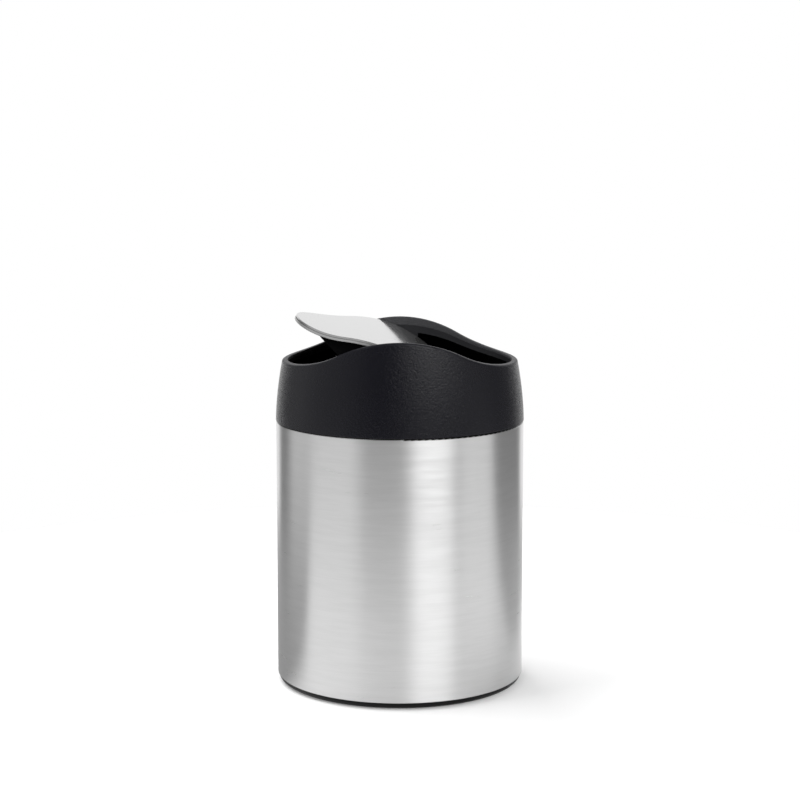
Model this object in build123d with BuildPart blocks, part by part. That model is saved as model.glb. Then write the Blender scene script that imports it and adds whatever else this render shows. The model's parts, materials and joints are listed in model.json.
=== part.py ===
from build123d import *
import os
from math import cos, hypot, radians, sin

# Push top countertop bin, in millimetres. The floor is z = 0, +Z is up and the front faces -Y.
# A rolled steel can stands on a moulded base and holds a lift-out bucket. The lid is a black
# collar with a wavy rim, and a wavy flap rocks in its opening about an axis along Y.

# ---- Can ----------------------------------------------------------------------------------
body_diameter = 130.0        # outside of the steel shell
shell_wall = 0.6
shell_height = 135.2
shell_lift = 3.7             # steel's lower edge above the floor
top_hem_width = 3.5          # shell's upper edge, turned in as a flat seat for the lid
top_hem_bend = 0.9           # outside radius of that turned edge
foot_hem_height = 4.0        # shell's lower edge, folded back on itself inside
foot_hem_round = 0.5         # outer corner of the folded edge

# ---- Base ---------------------------------------------------------------------------------
base_wall = 2.0
base_inset = 0.5             # base's skirt stands this far inside the steel's face
base_plug_height = 9.0       # plug wall that grips the inside of the shell
base_plug_gap = 0.15         # between plug wall and folded edge
base_plug_lead = 1.0         # plug wall's outer corner, bevelled to enter the shell
foot_ring_width = 11.2       # flat ring that the pads are set in
base_floor_rise = 2.0        # bucket's floor above the steel's lower edge
rib_count = 8
rib_thickness = 1.2
rib_height = 2.3
hub_radius = 10.0
pad_count = 4
pad_diameter = 6.8
pad_pocket_depth = 0.8
pad_proud = 0.4              # pads carry the bin, this far below the base
pad_gap = 0.1                # around a pad in its pocket

# ---- Bucket -------------------------------------------------------------------------------
bucket_wall = 1.4
bucket_floor_wall = 1.8
bucket_foot_inset = 9.0      # bucket's foot inside the can's radius
bucket_top_inset = 6.0       # bucket's wall under its lip, inside the can's radius
bucket_lip = 1.9             # lip turned out all round
bucket_lip_height = 4.0
bucket_lid_gap = 0.8         # from bucket's lip up to the collar's skirt
bucket_foot_height = 1.5     # hollow under the bucket's floor
finger_notch_radius = 13.0   # scooped out of the lip at each side, to lift the bucket

# ---- Collar -------------------------------------------------------------------------------
collar_proud = 0.2           # collar's foot beyond the steel's face
collar_wall = 2.3
collar_shoulder = 2.0        # seat over the shell's turned edge
skirt_depth = 9.0            # plugs into the can
skirt_wall = 1.8
skirt_gap = 0.3              # between skirt and turned edge
skirt_lead = 0.6             # skirt's outer corner, bevelled to enter the can
crush_rib_count = 6          # upright ribs that centre the skirt in the can
crush_rib_width = 1.2
crush_rib_proud = 0.2
rim_rise = 47.5              # crest of the rim above the steel
rim_drop = 15.6              # from crest to trough of the rim's wave
side_lean = 3.6              # collar's inward lean at its sides, at the rim's trough
crest_lean = 4.3             # and at front and rear, at the rim's crest
lean_power = 1.7             # 1 for straight walls, more to keep the lean for the top
rim_setback = 6.4            # opening's radius inside the can's radius
wave_margin = 2.3            # trough of the wave inside the can's radius
rim_outer_round = 1.3
rim_inner_round = 0.5
collar_foot_round = 0.4

# ---- Pivot ring ---------------------------------------------------------------------------
ring_wall = 2.0
ring_step = 0.2              # ring stands inside the collar's opening
ring_seat_gap = 0.15         # between ring and collar
ring_crest_sink = 4.4        # ring's upper edge below the rim's crest
ring_top_drop = 12.5
ring_crest_height = 4.0      # ring's height at front and rear
ring_foot_drop = 11.0
ear_half_width = 10.0        # ears that hang from the ring and carry the pivots
ear_depth = 12.5             # below the pivot's axis
ear_corner = 1.8
boss_radius = 3.1
boss_reach = 2.2             # boss stands inwards of the ring
stop_depth = 5.0             # flanks of the boss stop the flap, down to here
swing_limit = 72.0           # degrees to each side of level
bush_wall = 1.0
bush_flange_width = 0.6
bush_flange_thickness = 0.5
bush_seat_gap = 0.02
pin_diameter = 2.5
pin_running_gap = 0.05       # radial, pin in bush
pin_fit_gap = 0.01           # radial, pin in the flap's boss
pin_engagement = 10.0        # length of pin inside the flap
ring_screw_diameter = 2.2
ring_screw_head = 4.0
ring_screw_head_height = 1.1
ring_screw_bite = 2.0        # into the collar's pad
ring_screw_offset = 6.4      # to each side of the pivot
ring_screw_drop = 9.6        # below the pivot
screw_gap = 0.1

# ---- Flap ---------------------------------------------------------------------------------
flap_gap = 0.9               # between flap and ring
flap_sink = 6.2              # flap's crest below the rim's crest when level
flap_drop = 13.5
flap_wave_margin = 1.0       # flap's wave is this much shorter than the rim's
pivot_depth = 6.9            # pivot's axis below the flap's crest
rest_tilt = 28.0             # degrees, right wing pushed down
skin_thickness = 0.8
skin_round = 0.4
shadow_gap_height = 0.5      # fine groove between skin and edge band
shadow_gap_depth = 0.8
panel_thickness = 1.3
edge_band_depth = 2.7        # from the skin's top to the band's lower edge
edge_band_width = 2.6
edge_band_round = 0.5
tray_setback = 4.2           # tray's side wall inside the flap's edge
tray_wall = 1.6
tray_half_length = 43.5
tray_shoulder_depth = 7.2    # below the pivot's axis, where the keel's slopes start
tray_floor_half_length = 24.0
tray_floor_depth = 11.5      # below the pivot's axis
keel_round = 3.0             # where the keel's slopes bend
tray_seat_gap = 0.1          # between tray and panel
tray_end_gap = 0.9           # between bush and tray's boss
tray_boss_radius = 3.1
tray_boss_web = 4.4
tray_boss_end_wall = 1.0     # behind the pin's blind end
post_diameter = 6.0
post_spacing_x = 36.0
post_spacing_y = 66.0
tray_screw_diameter = 2.2
tray_screw_head = 4.4
tray_screw_head_height = 1.0
tray_screw_bite = 6.0
weight_width = 14.0
weight_length = 72.0
weight_thickness = 5.0
weight_corner = 1.5
stud_diameter = 5.0          # tray's studs that locate the weight
stud_spacing = 44.0
stud_gap = 0.1
stud_short = 0.2             # stud ends this much below the weight's top
weight_screw_diameter = 2.2
weight_screw_head = 7.0
weight_screw_head_height = 1.4
weight_screw_bite = 4.5

# ---- Worked out from the above --------------------------------------------------------------
body_radius = body_diameter / 2
shell_inner_radius = body_radius - shell_wall
top_hem_radius = body_radius - top_hem_width
foot_hem_radius = shell_inner_radius - shell_wall
seam = shell_lift + shell_height

base_outer_radius = body_radius - base_inset
base_round = shell_lift - pad_proud
foot_outer_radius = base_outer_radius - base_round
foot_inner_radius = foot_outer_radius - foot_ring_width
plug_outer_radius = foot_hem_radius - base_plug_gap
plug_inner_radius = plug_outer_radius - base_wall
base_plug_top = shell_lift + base_plug_height
base_floor_top = shell_lift + base_floor_rise
base_floor_under = base_floor_top - base_wall
pad_circle_radius = foot_inner_radius + foot_ring_width / 2

collar_radius = body_radius + collar_proud
skirt_outer_radius = top_hem_radius - skirt_gap
skirt_inner_radius = skirt_outer_radius - skirt_wall
skirt_foot = seam - skirt_depth
rim_crest = seam + rim_rise
rim_trough_rise = rim_rise - rim_drop
opening_radius = body_radius - rim_setback
half_wave = body_radius - wave_margin

ring_inner_radius = opening_radius - ring_step
ring_outer_radius = ring_inner_radius + ring_wall
ring_seat_radius = ring_outer_radius + ring_seat_gap
ring_crest = rim_crest - ring_crest_sink
ring_foot_crest = ring_crest - ring_crest_height

flap_radius = ring_inner_radius - flap_gap
flap_half_wave = half_wave - flap_wave_margin
pivot_z = rim_crest - flap_sink - pivot_depth
panel_under = skin_thickness + panel_thickness
band_inner_radius = flap_radius - edge_band_width
tray_radius = flap_radius - tray_setback

bush_bore_radius = pin_diameter / 2 + pin_running_gap
bush_outer_radius = bush_bore_radius + bush_wall
bush_flange_radius = bush_outer_radius + bush_flange_width
boss_bore_radius = bush_outer_radius + bush_seat_gap
boss_inner_y = ring_inner_radius - boss_reach
bush_inner_y = boss_inner_y - bush_flange_thickness
tray_boss_y = bush_inner_y - tray_end_gap
pin_outer_y = ring_outer_radius - ring_seat_gap
pin_inner_y = tray_boss_y - pin_engagement
ear_foot = pivot_z - ear_depth
ring_screw_z = pivot_z - ring_screw_drop
ring_screw_y = ring_inner_radius - screw_gap
ring_screw_length = ring_seat_radius + ring_screw_bite - ring_screw_y

bucket_foot_radius = body_radius - bucket_foot_inset
bucket_top_radius = body_radius - bucket_top_inset
bucket_lip_radius = bucket_top_radius + bucket_lip
bucket_rim = skirt_foot - bucket_lid_gap

reach = body_diameter        # beyond the part in every direction, for cutting tools

# Planes of the flap, turned with it about the pivot's axis.
tilt = radians(rest_tilt)
wing = (cos(tilt), 0, -sin(tilt))
flap_up = (sin(tilt), 0, cos(tilt))
flap_level = Plane(origin=(0, 0, pivot_z), x_dir=wing, z_dir=flap_up)
flap_section = Plane(origin=(0, 0, pivot_z), x_dir=wing, z_dir=(0, -1, 0))
front_section = Plane(origin=(0, 0, 0), x_dir=(1, 0, 0), z_dir=(0, -1, 0))
ends = {"front": -1, "rear": 1}


def below_wave(plane, crest, drop, half_length):
    """Block whose top is a wave: two tangent arcs each side, highest on the plane's y axis."""
    middle = crest - drop / 2
    trough = crest - drop
    bottom = crest - reach
    with BuildPart() as block:
        with BuildSketch(plane):
            with BuildLine():
                TangentArc((-half_length, trough), (-half_length / 2, middle), tangent=(1, 0))
                ThreePointArc((-half_length / 2, middle), (0, crest), (half_length / 2, middle))
                TangentArc((half_length, trough), (half_length / 2, middle), tangent=(-1, 0))
                Polyline(
                    (half_length, trough),
                    (reach, trough),
                    (reach, bottom),
                    (-reach, bottom),
                    (-reach, trough),
                    (-half_length, trough),
                )
            make_face()
        extrude(amount=reach, both=True)
    return block.part


def collar_loft(start_rise, inset):
    """Collar's leaning form, round at its foot and oval above, drawn in by an inset all round."""
    top_rise = rim_rise + collar_shoulder
    with BuildPart() as form:
        for step in range(4):
            rise = start_rise + (top_rise - start_rise) * step / 3
            side = collar_radius - side_lean * (rise / rim_trough_rise) ** lean_power - inset
            front = collar_radius - crest_lean * (rise / rim_rise) ** lean_power - inset
            with BuildSketch(Plane.XY.offset(seam + rise)):
                Ellipse(front, side, rotation=90)
        loft()
    return form.part


def flap_wave(sink):
    """Block below the flap's top wave, lowered by a sink."""
    return below_wave(flap_section, pivot_depth - sink, flap_drop, flap_half_wave)


def flap_disc(radius):
    """Round block along the flap's own upward axis."""
    with BuildPart() as disc:
        with BuildSketch(flap_level):
            Circle(radius)
        extrude(amount=body_radius, both=True)
    return disc.part


def plan_radius(point):
    """Distance of a point from the can's own axis."""
    return hypot(point.X, point.Y)


def above_pivot(point):
    """Height of a point over the pivot, along the flap's own upward axis."""
    return (point - flap_level.origin).dot(flap_level.z_dir)


def corners(section, *places):
    """Corners of a section that lie nearest to the given places."""
    return [section.vertices().sort_by_distance(place)[0] for place in places]


def end_plane(sign, y, z):
    """Plane across the pivot's axis at one end, facing outwards, with z up in the sketch."""
    return Plane(origin=(0, sign * y, z), x_dir=(-sign, 0, 0), z_dir=(0, sign, 0))


def screw_plane(sign):
    """Plane of the ring screws' heads at one end, facing inwards."""
    return Plane(origin=(0, sign * ring_screw_y, ring_screw_z), x_dir=(sign, 0, 0), z_dir=(0, -sign, 0))


def flap_end(sign, y):
    """Plane across the pivot's axis at one end of the flap, facing outwards, upright with the flap."""
    return Plane(origin=(0, sign * y, pivot_z), x_dir=[-sign * part for part in wing], z_dir=(0, sign, 0))


# ---- Steel shell ----------------------------------------------------------------------------
with BuildPart() as shell:
    with BuildSketch(Plane.XZ) as shell_section:
        with BuildLine():
            bend_foot = seam - top_hem_bend
            bend_inside = top_hem_bend - shell_wall
            Line((body_radius, shell_lift), (body_radius, bend_foot))
            TangentArc((body_radius, bend_foot), (body_radius - top_hem_bend, seam), tangent=(0, 1))
            Polyline(
                (body_radius - top_hem_bend, seam),
                (top_hem_radius, seam),
                (top_hem_radius, seam - shell_wall),
                (shell_inner_radius - bend_inside, seam - shell_wall),
            )
            TangentArc(
                (shell_inner_radius, bend_foot),
                (shell_inner_radius - bend_inside, seam - shell_wall),
                tangent=(0, 1),
            )
            Polyline(
                (shell_inner_radius, bend_foot),
                (shell_inner_radius, shell_lift + foot_hem_height),
                (foot_hem_radius, shell_lift + foot_hem_height),
                (foot_hem_radius, shell_lift),
                (body_radius, shell_lift),
            )
        make_face()
        fillet(corners(shell_section, (body_radius, shell_lift)), foot_hem_round)
    revolve(axis=Axis.Z)

# ---- Base ---------------------------------------------------------------------------------------
with BuildPart() as base:
    with BuildSketch(Plane.XZ):
        with BuildLine():
            channel_floor = pad_proud + base_wall
            channel_inner_radius = foot_inner_radius + base_wall
            Polyline(
                (0, base_floor_under),
                (foot_inner_radius, base_floor_under),
                (foot_inner_radius, pad_proud),
                (foot_outer_radius, pad_proud),
            )
            TangentArc((foot_outer_radius, pad_proud), (base_outer_radius, shell_lift), tangent=(1, 0))
            Polyline(
                (base_outer_radius, shell_lift),
                (plug_outer_radius, shell_lift),
                (plug_outer_radius, base_plug_top - base_plug_lead),
                (plug_outer_radius - base_plug_lead, base_plug_top),
                (plug_inner_radius, base_plug_top),
                (plug_inner_radius, channel_floor),
                (channel_inner_radius, channel_floor),
                (channel_inner_radius, base_floor_top),
                (0, base_floor_top),
                (0, base_floor_under),
            )
        make_face()
    revolve(axis=Axis.Z)
    with BuildSketch(Plane.XY.offset(base_floor_under)):
        with PolarLocations((hub_radius + foot_inner_radius) / 2, rib_count):
            Rectangle(foot_inner_radius - hub_radius, rib_thickness)
        Circle(hub_radius + rib_thickness)
        Circle(hub_radius, mode=Mode.SUBTRACT)
    extrude(amount=-rib_height)
    with BuildSketch(Plane.XY.offset(pad_proud)):
        with PolarLocations(pad_circle_radius, pad_count, start_angle=45):
            Circle(pad_diameter / 2 + pad_gap)
    extrude(amount=pad_pocket_depth, mode=Mode.SUBTRACT)

foot_pads = []
for index in range(pad_count):
    with BuildPart() as foot_pad:
        with BuildSketch(Plane.XY):
            with PolarLocations(pad_circle_radius, 1, start_angle=45 + index * 360 / pad_count):
                Circle(pad_diameter / 2)
        extrude(amount=pad_proud + pad_pocket_depth)
    foot_pads.append(foot_pad)

# ---- Bucket -------------------------------------------------------------------------------------
with BuildPart() as bucket:
    with BuildSketch(Plane.XZ):
        with BuildLine():
            foot_inside = bucket_foot_radius - 2 * bucket_wall
            floor_under = base_floor_top + bucket_foot_height
            floor_top = floor_under + bucket_floor_wall
            Polyline(
                (0, floor_under),
                (foot_inside, floor_under),
                (foot_inside, base_floor_top),
                (bucket_foot_radius - bucket_wall, base_floor_top),
                (bucket_foot_radius, floor_top),
                (bucket_top_radius, bucket_rim - bucket_lip_height),
                (bucket_lip_radius, bucket_rim - bucket_lip_height),
                (bucket_lip_radius, bucket_rim),
                (bucket_top_radius - bucket_wall, bucket_rim),
                (bucket_foot_radius - bucket_wall, floor_top),
                (0, floor_top),
                (0, floor_under),
            )
        make_face()
    revolve(axis=Axis.Z)
    notch_z = bucket_rim + finger_notch_radius / 2
    with BuildSketch(Plane.YZ):
        with Locations((0, notch_z)):
            Circle(finger_notch_radius)
    extrude(amount=body_radius, both=True, mode=Mode.SUBTRACT)

# ---- Collar -------------------------------------------------------------------------------------
pad_foot = ear_foot - ring_seat_gap
collar_form = collar_loft(0, 0)
rim_wave = below_wave(front_section, rim_crest, rim_drop, half_wave)
ring_top_wave = below_wave(front_section, ring_crest, ring_top_drop, half_wave)
with BuildPart() as collar_cavity:
    add(collar_loft(collar_shoulder, collar_wall))
    with BuildSketch(Plane.XY.offset(pad_foot)):
        Rectangle(2 * (ear_half_width + ring_seat_gap), 2 * reach)
    extrude(amount=reach, mode=Mode.SUBTRACT)
with BuildPart() as ring_seat:
    with BuildSketch(Plane.XY.offset(seam + collar_shoulder)):
        Circle(ring_seat_radius)
    extrude(amount=rim_rise)

with BuildPart() as collar_hollow:
    add(collar_cavity.part)
    add(ring_seat.part)
    add(ring_top_wave, mode=Mode.INTERSECT)

with BuildPart() as skirt:
    with BuildSketch(Plane.XY.offset(skirt_foot)):
        Circle(skirt_outer_radius)
    extrude(amount=skirt_depth + collar_shoulder)
    chamfer(skirt.edges().group_by(Axis.Z)[0], skirt_lead)
    with BuildSketch(Plane.XY.offset(skirt_foot + 2 * skirt_lead)):
        with PolarLocations(skirt_outer_radius, crush_rib_count, start_angle=180 / crush_rib_count):
            Rectangle(2 * crush_rib_proud, crush_rib_width)
    extrude(amount=skirt_depth - 2 * skirt_lead)
    with BuildSketch(Plane.XY.offset(skirt_foot)):
        Circle(skirt_inner_radius)
    extrude(amount=skirt_depth + collar_shoulder, mode=Mode.SUBTRACT)

with BuildPart() as collar:
    add(collar_form)
    add(rim_wave, mode=Mode.INTERSECT)
    with BuildSketch(Plane.XY.offset(seam)):
        Circle(opening_radius)
    extrude(amount=2 * rim_rise, mode=Mode.SUBTRACT)
    rim_edges = collar.edges().filter_by(GeomType.LINE, reverse=True)
    rim_edges = rim_edges.filter_by(lambda edge: edge.bounding_box().min.Z > seam + rim_trough_rise / 2)
    rim_inside = rim_edges.filter_by(lambda edge: plan_radius(edge @ 0.5) < opening_radius + ring_step)
    rim_outside = rim_edges.filter_by(lambda edge: plan_radius(edge @ 0.5) > opening_radius + ring_step)
    fillet(rim_outside, rim_outer_round)
    fillet(rim_inside, rim_inner_round)
    fillet(collar.edges().group_by(Axis.Z)[0].sort_by(SortBy.LENGTH)[-1], collar_foot_round)
    add(collar_hollow.part, mode=Mode.SUBTRACT)
    add(skirt.part)
    with Locations(screw_plane(-1), screw_plane(1)):
        with Locations((-ring_screw_offset, 0), (ring_screw_offset, 0)):
            Cylinder(
                ring_screw_diameter / 2 + pin_fit_gap,
                ring_screw_length + screw_gap,
                align=(Align.CENTER, Align.CENTER, Align.MAX),
                mode=Mode.SUBTRACT,
            )

# ---- Pivot ring ---------------------------------------------------------------------------
ring_foot_wave = below_wave(front_section, ring_foot_crest, ring_foot_drop, half_wave)
ear_height = ring_foot_crest + ring_crest_height / 2 - ear_foot
with BuildPart() as ring_ears:
    with BuildSketch(front_section):
        with Locations((0, ear_foot + ear_height / 2)):
            RectangleRounded(2 * ear_half_width, ear_height, ear_corner)
    extrude(amount=reach, both=True)
    with BuildSketch(Plane.XY.offset(ear_foot)):
        Circle(ring_outer_radius)
        Circle(ring_inner_radius, mode=Mode.SUBTRACT)
    extrude(amount=ear_height, mode=Mode.INTERSECT)

with BuildPart() as pivot_ring:
    with BuildSketch(Plane.XY.offset(ear_foot)):
        Circle(ring_outer_radius)
        Circle(ring_inner_radius, mode=Mode.SUBTRACT)
    extrude(amount=rim_rise)
    add(ring_top_wave, mode=Mode.INTERSECT)
    add(ring_foot_wave, mode=Mode.SUBTRACT)
    add(ring_ears.part)
    for sign in ends.values():
        flank = radians(90 - swing_limit)
        foot_half = (boss_radius + stop_depth * sin(flank)) / cos(flank)
        with BuildSketch(end_plane(sign, boss_inner_y, pivot_z)):
            Circle(boss_radius)
            with BuildLine():
                Polyline(
                    (-boss_radius * cos(flank), boss_radius * sin(flank)),
                    (-foot_half, -stop_depth),
                    (foot_half, -stop_depth),
                    (boss_radius * cos(flank), boss_radius * sin(flank)),
                    close=True,
                )
            make_face()
        extrude(amount=pin_outer_y - boss_inner_y)
        with BuildSketch(end_plane(sign, boss_inner_y, pivot_z)):
            Circle(boss_bore_radius)
        extrude(amount=reach, mode=Mode.SUBTRACT)
    with Locations(screw_plane(-1), screw_plane(1)):
        with Locations((-ring_screw_offset, 0), (ring_screw_offset, 0)):
            CounterBoreHole(
                ring_screw_diameter / 2 + screw_gap,
                ring_screw_head / 2 + screw_gap,
                ring_screw_head_height + screw_gap,
                ring_screw_length,
            )
            Cylinder(
                ring_screw_head / 2 + screw_gap,
                ring_wall,
                align=(Align.CENTER, Align.CENTER, Align.MIN),
                mode=Mode.SUBTRACT,
            )

with BuildPart() as ring_screws:
    with Locations(screw_plane(-1), screw_plane(1)):
        with Locations((-ring_screw_offset, 0), (ring_screw_offset, 0)):
            Cylinder(
                ring_screw_head / 2,
                ring_screw_head_height,
                align=(Align.CENTER, Align.CENTER, Align.MAX),
            )
            Cylinder(
                ring_screw_diameter / 2,
                ring_screw_length,
                align=(Align.CENTER, Align.CENTER, Align.MAX),
            )

# ---- Pivot bushes and pins ------------------------------------------------------------------
bushes = {}
pins = {}
for end, sign in ends.items():
    with BuildPart() as bush:
        with BuildSketch(end_plane(sign, bush_inner_y, pivot_z)):
            Circle(bush_flange_radius)
        extrude(amount=bush_flange_thickness)
        with BuildSketch(end_plane(sign, bush_inner_y, pivot_z)):
            Circle(bush_outer_radius)
        extrude(amount=pin_outer_y - bush_inner_y)
        with BuildSketch(end_plane(sign, bush_inner_y, pivot_z)):
            Circle(bush_bore_radius)
        extrude(amount=pin_outer_y - bush_inner_y, mode=Mode.SUBTRACT)
    bushes[end] = bush
    with BuildPart() as pin:
        with BuildSketch(end_plane(sign, pin_inner_y, pivot_z)):
            Circle(pin_diameter / 2)
        extrude(amount=pin_outer_y - pin_inner_y)
        chamfer(pin.edges().filter_by(GeomType.CIRCLE), pin_diameter / 10)
    pins[end] = pin

# ---- Flap skin ----------------------------------------------------------------------------------
with BuildPart() as flap_skin:
    add(flap_disc(flap_radius))
    add(flap_wave(0), mode=Mode.INTERSECT)
    skin_rim = flap_skin.edges().filter_by(GeomType.LINE, reverse=True)
    skin_rim = skin_rim.filter_by(lambda edge: above_pivot(edge @ 0.5) > -flap_drop)
    fillet(skin_rim, skin_round)
    add(flap_wave(skin_thickness), mode=Mode.SUBTRACT)

# ---- Flap panel: moulded edge band, web and screw posts -----------------------------------------------
with BuildPart() as panel_hollow:
    add(flap_disc(band_inner_radius))
    add(flap_wave(panel_under), mode=Mode.INTERSECT)

with BuildPart() as shadow_groove:
    add(flap_disc(flap_radius + shadow_gap_depth))
    add(flap_disc(flap_radius - shadow_gap_depth), mode=Mode.SUBTRACT)
    add(flap_wave(skin_thickness + shadow_gap_height), mode=Mode.SUBTRACT)

post_foot = flap_level.offset(tray_wall - tray_floor_depth)
with BuildPart() as panel_posts:
    with BuildSketch(post_foot):
        with GridLocations(post_spacing_x, post_spacing_y, 2, 2):
            Circle(post_diameter / 2)
    extrude(amount=tray_floor_depth + pivot_depth)
    add(flap_wave((skin_thickness + panel_under) / 2), mode=Mode.INTERSECT)
    with BuildSketch(post_foot):
        with GridLocations(post_spacing_x, post_spacing_y, 2, 2):
            Circle(tray_screw_diameter / 2 + pin_fit_gap)
    extrude(amount=tray_screw_bite + screw_gap, mode=Mode.SUBTRACT)

with BuildPart() as flap_panel:
    add(flap_disc(flap_radius))
    add(flap_wave(skin_thickness), mode=Mode.INTERSECT)
    add(flap_wave(edge_band_depth), mode=Mode.SUBTRACT)
    band_foot = flap_panel.faces().filter_by(lambda face: face.normal_at().dot(flap_level.z_dir) < -0.5)
    fillet(band_foot.edges().filter_by(GeomType.LINE, reverse=True), edge_band_round)
    add(panel_hollow.part, mode=Mode.SUBTRACT)
    add(shadow_groove.part, mode=Mode.SUBTRACT)
    add(panel_posts.part)

# ---- Flap tray: black keel under the panel ------------------------------------------------------------
keel_corners = [
    (-tray_half_length, body_radius),
    (-tray_half_length, -tray_shoulder_depth),
    (-tray_floor_half_length, -tray_floor_depth),
    (tray_floor_half_length, -tray_floor_depth),
    (tray_half_length, -tray_shoulder_depth),
    (tray_half_length, body_radius),
]
with BuildPart() as tray_inside:
    with BuildSketch(flap_section) as keel_inside:
        with BuildLine():
            Polyline(*keel_corners, close=True)
        make_face()
        fillet(corners(keel_inside, *keel_corners[1:-1]), keel_round)
        offset(amount=-tray_wall, kind=Kind.INTERSECTION, mode=Mode.REPLACE)
    extrude(amount=reach, both=True)
    add(flap_disc(tray_radius - tray_wall), mode=Mode.INTERSECT)

tray_boss_foot = pin_inner_y - tray_boss_end_wall
under_tray = Plane(
    origin=flap_level.offset(-tray_floor_depth).origin,
    x_dir=wing,
    z_dir=[-part for part in flap_up],
)
with BuildPart() as flap_tray:
    with BuildSketch(flap_section) as keel_outside:
        with BuildLine():
            Polyline(*keel_corners, close=True)
        make_face()
        fillet(corners(keel_outside, *keel_corners[1:-1]), keel_round)
    extrude(amount=reach, both=True)
    add(flap_disc(tray_radius), mode=Mode.INTERSECT)
    add(flap_wave(panel_under + tray_seat_gap), mode=Mode.INTERSECT)
    add(tray_inside.part, mode=Mode.SUBTRACT)
    for sign in ends.values():
        with BuildSketch(flap_end(sign, tray_boss_foot)):
            Circle(tray_boss_radius)
            with Locations((0, -tray_floor_depth / 2)):
                Rectangle(tray_boss_web, tray_floor_depth)
        extrude(amount=tray_radius - tray_wall - tray_boss_foot)
        with BuildSketch(flap_end(sign, tray_boss_foot)):
            Circle(tray_boss_radius)
        extrude(amount=tray_boss_y - tray_boss_foot)
        with BuildSketch(flap_end(sign, pin_inner_y)):
            Circle(pin_diameter / 2 + pin_fit_gap)
        extrude(amount=reach, mode=Mode.SUBTRACT)
    with BuildSketch(post_foot):
        with GridLocations(0, stud_spacing, 1, 2):
            Circle(stud_diameter / 2)
    extrude(amount=weight_thickness - stud_short)
    with BuildSketch(post_foot.offset(weight_thickness)):
        with GridLocations(0, stud_spacing, 1, 2):
            Circle(weight_screw_diameter / 2 + pin_fit_gap)
    extrude(amount=-weight_screw_bite - screw_gap, mode=Mode.SUBTRACT)
    with Locations(under_tray):
        with GridLocations(post_spacing_x, post_spacing_y, 2, 2):
            CounterSinkHole(
                tray_screw_diameter / 2 + screw_gap,
                tray_screw_head / 2 + screw_gap,
                tray_wall,
            )

with BuildPart() as tray_screws:
    with Locations(under_tray):
        with GridLocations(post_spacing_x, post_spacing_y, 2, 2):
            Cone(
                tray_screw_diameter / 2,
                tray_screw_head / 2,
                tray_screw_head_height,
                align=(Align.CENTER, Align.CENTER, Align.MAX),
            )
            Cylinder(
                tray_screw_diameter / 2,
                tray_wall + tray_screw_bite,
                align=(Align.CENTER, Align.CENTER, Align.MAX),
            )

# ---- Counterweight ---------------------------------------------------------------------------------
with BuildPart() as counterweight:
    with BuildSketch(post_foot):
        RectangleRounded(weight_width, weight_length, weight_corner)
        with GridLocations(0, stud_spacing, 1, 2):
            Circle(stud_diameter / 2 + stud_gap, mode=Mode.SUBTRACT)
    extrude(amount=weight_thickness)

with BuildPart() as weight_screws:
    with BuildSketch(post_foot.offset(weight_thickness)):
        with GridLocations(0, stud_spacing, 1, 2):
            Circle(weight_screw_head / 2)
    extrude(amount=weight_screw_head_height)
    with BuildSketch(post_foot.offset(weight_thickness)):
        with GridLocations(0, stud_spacing, 1, 2):
            Circle(weight_screw_diameter / 2)
    extrude(amount=-weight_screw_bite)

# ---- Output -----------------------------------------------------------------------------------------
pieces = {
    "shell": shell,
    "base": base,
    "bucket": bucket,
    "collar": collar,
    "pivot_ring": pivot_ring,
    "ring_screws": ring_screws,
    "front_bush": bushes["front"],
    "rear_bush": bushes["rear"],
    "front_pin": pins["front"],
    "rear_pin": pins["rear"],
    "flap_skin": flap_skin,
    "flap_panel": flap_panel,
    "flap_tray": flap_tray,
    "tray_screws": tray_screws,
    "counterweight": counterweight,
    "weight_screws": weight_screws,
}
for index, foot_pad in enumerate(foot_pads):
    pieces[f"foot_pad_{index + 1}"] = foot_pad

os.makedirs("parts", exist_ok=True)
for name, piece in pieces.items():
    piece.part.label = name
    export_step(piece.part, f"parts/{name}.step")
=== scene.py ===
"""Looks and studio of the push top countertop bin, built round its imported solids."""

import json
import math

import bmesh
import bpy
from bpy.props import FloatProperty, FloatVectorProperty, IntProperty, PointerProperty
from mathutils import Matrix, Vector


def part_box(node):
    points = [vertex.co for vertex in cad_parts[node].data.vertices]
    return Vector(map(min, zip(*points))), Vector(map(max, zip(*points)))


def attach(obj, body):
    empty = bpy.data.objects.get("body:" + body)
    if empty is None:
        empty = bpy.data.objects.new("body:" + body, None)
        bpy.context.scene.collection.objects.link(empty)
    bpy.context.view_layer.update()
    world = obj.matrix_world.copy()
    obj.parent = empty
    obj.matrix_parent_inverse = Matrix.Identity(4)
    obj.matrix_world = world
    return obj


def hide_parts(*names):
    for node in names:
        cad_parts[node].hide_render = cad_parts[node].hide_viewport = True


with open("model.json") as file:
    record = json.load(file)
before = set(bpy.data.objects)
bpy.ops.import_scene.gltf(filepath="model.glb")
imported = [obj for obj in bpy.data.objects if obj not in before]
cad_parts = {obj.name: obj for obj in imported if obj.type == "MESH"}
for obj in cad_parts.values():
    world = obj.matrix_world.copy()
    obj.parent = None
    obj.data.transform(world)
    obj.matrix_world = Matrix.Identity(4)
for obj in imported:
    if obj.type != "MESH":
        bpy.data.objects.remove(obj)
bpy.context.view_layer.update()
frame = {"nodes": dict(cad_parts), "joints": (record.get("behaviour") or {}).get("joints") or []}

bl_info = {
    "name": "Push top countertop bin",
    "version": (1, 0, 0),
    "blender": (4, 5, 0),
    "location": "3D View > Sidebar > Bin",
    "description": "Finishes, screws and studio of a countertop bin with a rocking flap",
    "category": "Object",
}

MM = 0.001
WHITE = (1, 1, 1)
BLACK = (0, 0, 0)


# ---- Node trees ---------------------------------------------------------------------------

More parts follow.
